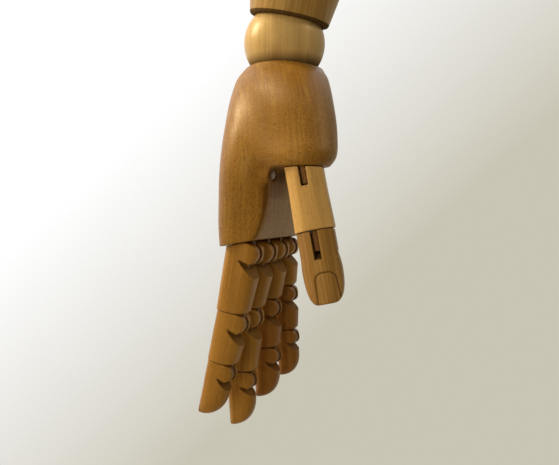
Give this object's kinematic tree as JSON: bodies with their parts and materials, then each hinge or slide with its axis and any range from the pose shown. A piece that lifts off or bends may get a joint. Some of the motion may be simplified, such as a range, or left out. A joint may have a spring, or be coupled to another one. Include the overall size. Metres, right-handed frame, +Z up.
{
  "type": "jointed wooden mannequin hand",
  "caption": "Life-size right hand of lacquered wood with hinged fingers and thumb, hanging from a wrist ball and a turned forearm end; it is posed and drawn from.",
  "frame": {"origin": "middle of the flat sawn top face of the forearm end", "axes": "+Z up along the forearm axis, +X the way the palm faces, -Y the thumb side"},
  "size_m": [0.1043, 0.0952, 0.2774],
  "materials": {
    "pale_wood": "satin lacquer",
    "palm_wood": "satin lacquer",
    "finger_wood": "satin lacquer",
    "thumb_wood": "satin lacquer",
    "tongue_wood": "satin lacquer",
    "steel": "bare",
    "brass": "bare"
  },
  "bodies": {
    "forearm": {"forearm": "pale_wood", "wrist_insert": "brass"},
    "bolt": {"wrist_eye_bolt": "steel"},
    "ball": {"wrist_ball": "pale_wood", "wrist_cross_pin": "steel", "palm_stud": "steel"},
    "palm": {"palm": "palm_wood", "palm_insert": "brass", "web_screw": "steel", "index_proximal_tongue": "tongue_wood", "middle_proximal_tongue": "tongue_wood", "ring_proximal_tongue": "tongue_wood", "little_proximal_tongue": "tongue_wood", "thumb_proximal_tongue": "tongue_wood"},
    "index_proximal": {"index_proximal": "finger_wood", "index_proximal_pin": "steel", "index_middle_tongue": "tongue_wood"},
    "index_middle": {"index_middle": "finger_wood", "index_middle_pin": "steel", "index_distal_tongue": "tongue_wood"},
    "index_distal": {"index_distal": "finger_wood", "index_distal_pin": "steel"},
    "middle_proximal": {"middle_proximal": "finger_wood", "middle_proximal_pin": "steel", "middle_middle_tongue": "tongue_wood"},
    "middle_middle": {"middle_middle": "finger_wood", "middle_middle_pin": "steel", "middle_distal_tongue": "tongue_wood"},
    "middle_distal": {"middle_distal": "finger_wood", "middle_distal_pin": "steel"},
    "ring_proximal": {"ring_proximal": "finger_wood", "ring_proximal_pin": "steel", "ring_middle_tongue": "tongue_wood"},
    "ring_middle": {"ring_middle": "finger_wood", "ring_middle_pin": "steel", "ring_distal_tongue": "tongue_wood"},
    "ring_distal": {"ring_distal": "finger_wood", "ring_distal_pin": "steel"},
    "little_proximal": {"little_proximal": "finger_wood", "little_proximal_pin": "steel", "little_middle_tongue": "tongue_wood"},
    "little_middle": {"little_middle": "finger_wood", "little_middle_pin": "steel", "little_distal_tongue": "tongue_wood"},
    "little_distal": {"little_distal": "finger_wood", "little_distal_pin": "steel"},
    "thumb_proximal": {"thumb_proximal": "thumb_wood", "thumb_proximal_pin": "steel", "thumb_distal_tongue": "tongue_wood"},
    "thumb_distal": {"thumb_distal": "thumb_wood", "thumb_distal_pin": "steel"}
  },
  "joints": [
    {"name": "wrist_turn", "type": "hinge", "parent": "forearm", "child": "bolt", "pos_m": [0, 0, -0.072], "axis": [0, 0, 1], "range_deg": [-90, 90]},
    {"name": "wrist_bend", "type": "hinge", "parent": "bolt", "child": "ball", "pos_m": [0, 0, -0.072], "axis": [0, -1, 0], "range_deg": [-42, 20]},
    {"name": "hand_turn", "type": "hinge", "parent": "ball", "child": "palm", "pos_m": [0, 0, -0.072], "axis": [-0.2079, 0, 0.9781], "range_deg": [-90, 90]},
    {"name": "index_proximal_flex", "type": "hinge", "parent": "palm", "child": "index_proximal", "pos_m": [0.01551, -0.02724, -0.18283], "axis": [0.0139, -0.9993, -0.0358], "range_deg": [0, 80]},
    {"name": "index_middle_flex", "type": "hinge", "parent": "index_proximal", "child": "index_middle", "pos_m": [0.01555, -0.02593, -0.21951], "axis": [0.0139, -0.9993, -0.0358], "range_deg": [0, 85]},
    {"name": "index_distal_flex", "type": "hinge", "parent": "index_middle", "child": "index_distal", "pos_m": [0.01401, -0.025, -0.24616], "axis": [0.0139, -0.9993, -0.0358], "range_deg": [0, 60]},
    {"name": "middle_proximal_flex", "type": "hinge", "parent": "palm", "child": "middle_proximal", "pos_m": [0.01532, -0.00855, -0.18234], "axis": [0.0139, -0.9993, -0.0358], "range_deg": [0, 80]},
    {"name": "middle_middle_flex", "type": "hinge", "parent": "middle_proximal", "child": "middle_middle", "pos_m": [0.01507, -0.00727, -0.2181], "axis": [0.0139, -0.9993, -0.0358], "range_deg": [0, 85]},
    {"name": "middle_distal_flex", "type": "hinge", "parent": "middle_middle", "child": "middle_distal", "pos_m": [0.01862, -0.00602, -0.25168], "axis": [0.0139, -0.9993, -0.0358], "range_deg": [0, 60]},
    {"name": "ring_proximal_flex", "type": "hinge", "parent": "palm", "child": "ring_proximal", "pos_m": [0.01495, 0.00953, -0.1814], "axis": [0.0139, -0.9993, -0.0358], "range_deg": [0, 80]},
    {"name": "ring_middle_flex", "type": "hinge", "parent": "ring_proximal", "child": "ring_middle", "pos_m": [0.01755, 0.01072, -0.21359], "axis": [0.0139, -0.9993, -0.0358], "range_deg": [0, 85]},
    {"name": "ring_distal_flex", "type": "hinge", "parent": "ring_middle", "child": "ring_distal", "pos_m": [0.02319, 0.01172, -0.23938], "axis": [0.0139, -0.9993, -0.0358], "range_deg": [0, 60]},
    {"name": "little_proximal_flex", "type": "hinge", "parent": "palm", "child": "little_proximal", "pos_m": [0.01447, 0.02619, -0.18017], "axis": [0.0139, -0.9993, -0.0358], "range_deg": [0, 80]},
    {"name": "little_middle_flex", "type": "hinge", "parent": "little_proximal", "child": "little_middle", "pos_m": [0.02008, 0.0272, -0.20612], "axis": [0.0139, -0.9993, -0.0358], "range_deg": [0, 80]},
    {"name": "little_distal_flex", "type": "hinge", "parent": "little_middle", "child": "little_distal", "pos_m": [0.02621, 0.02813, -0.22981], "axis": [0.0139, -0.9993, -0.0358], "range_deg": [0, 50]},
    {"name": "thumb_proximal_flex", "type": "hinge", "parent": "palm", "child": "thumb_proximal", "pos_m": [0.04352, -0.0412, -0.14004], "axis": [-0.9019, -0.1958, -0.385], "range_deg": [-45, 0]},
    {"name": "thumb_distal_flex", "type": "hinge", "parent": "thumb_proximal", "child": "thumb_distal", "pos_m": [0.05674, -0.04557, -0.16877], "axis": [-0.9019, -0.1958, -0.385], "range_deg": [-60, 0]}
  ]
}
